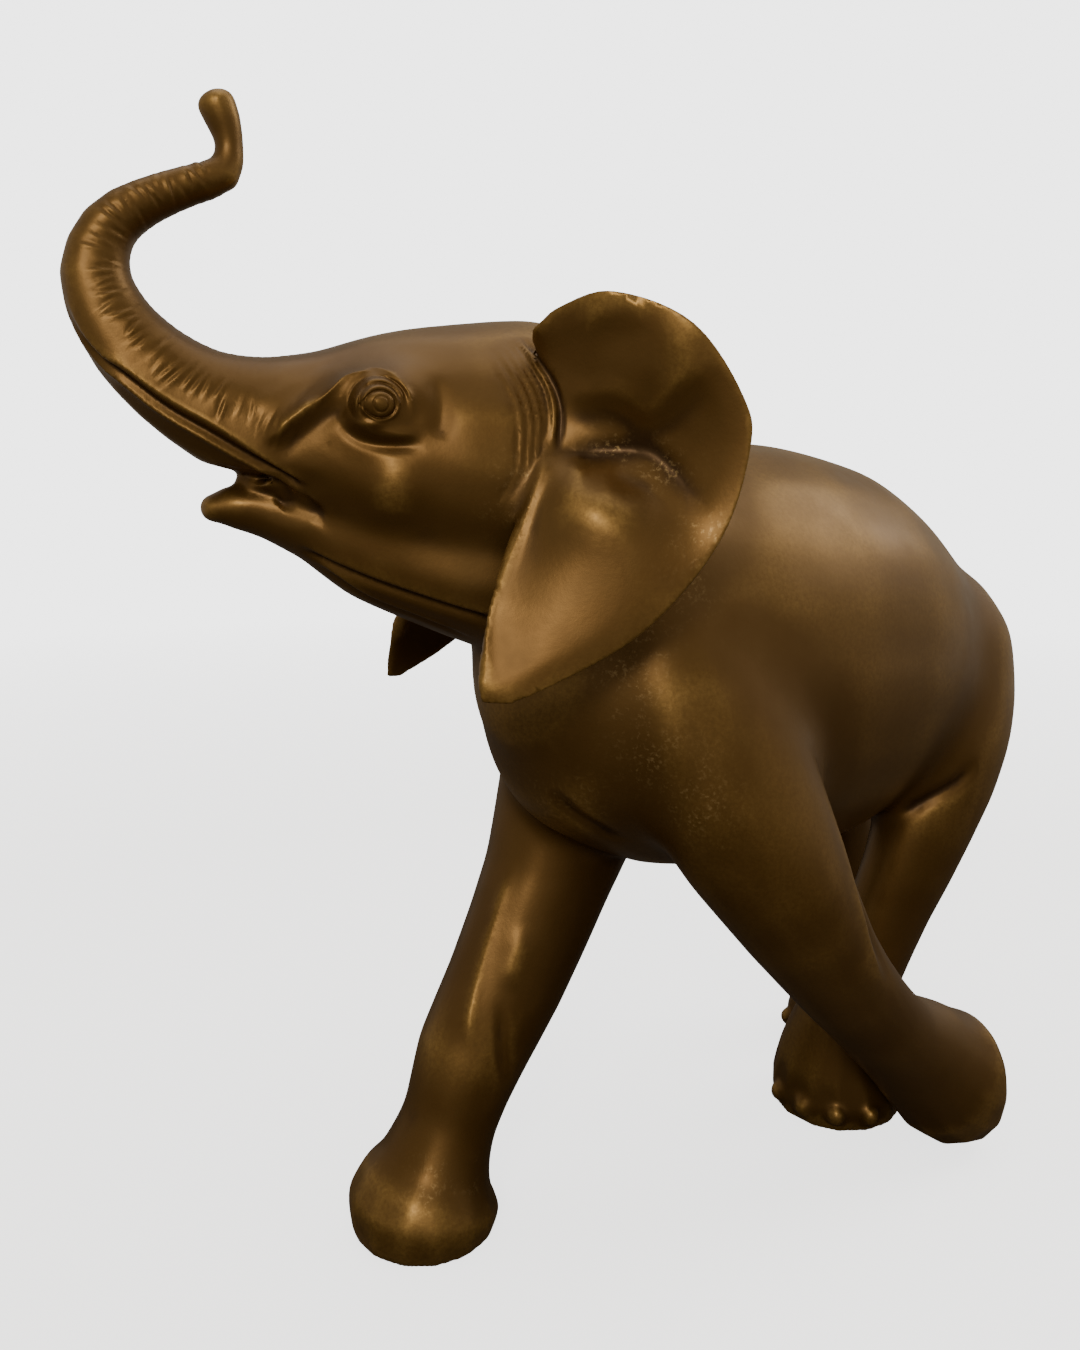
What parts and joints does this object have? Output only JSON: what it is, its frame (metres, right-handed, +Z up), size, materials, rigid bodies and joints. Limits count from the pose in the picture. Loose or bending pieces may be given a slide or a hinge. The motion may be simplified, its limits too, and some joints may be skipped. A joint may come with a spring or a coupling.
{
  "type": "bronze elephant sculpture",
  "caption": "Cast bronze elephant calf striding with its head raised and its trunk curled back over its brow, resting on its feet.",
  "frame": {"origin": "on the ground, under the middle of the calf's bounding box", "axes": "+Z up; the calf faces -X, its left side is -Y and its right side +Y"},
  "size_m": [0.5516, 0.2312, 0.5401],
  "materials": {
    "bronze": "satin brown patina over cast bronze, rubbed golden on the raised forms and darker in the creases"
  },
  "bodies": {
    "root": {"elephant": "bronze"}
  },
  "joints": []
}
